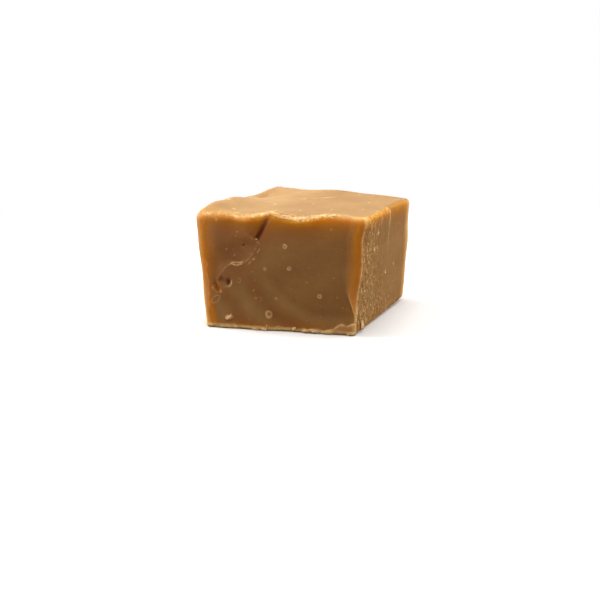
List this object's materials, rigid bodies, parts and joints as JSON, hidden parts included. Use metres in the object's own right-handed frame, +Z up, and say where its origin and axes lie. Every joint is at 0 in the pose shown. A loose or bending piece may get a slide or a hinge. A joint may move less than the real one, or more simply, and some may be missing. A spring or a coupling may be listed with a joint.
{
  "type": "fudge cube",
  "caption": "Knife-cut block of caramel fudge with a wavy poured top, rounded rims and torn, bubbled cut sides; a sweet that rests flat.",
  "frame": {"origin": "middle of the flat base", "axes": "+X to the right of the front, +Y to the back, +Z up; the front, with the cleft and the torn holes, faces -Y"},
  "size_m": [0.0372, 0.0379, 0.0263],
  "materials": {
    "caramel_fudge": "waxy caramel brown"
  },
  "bodies": {
    "root": {"fudge_cube": "caramel_fudge"}
  },
  "joints": []
}
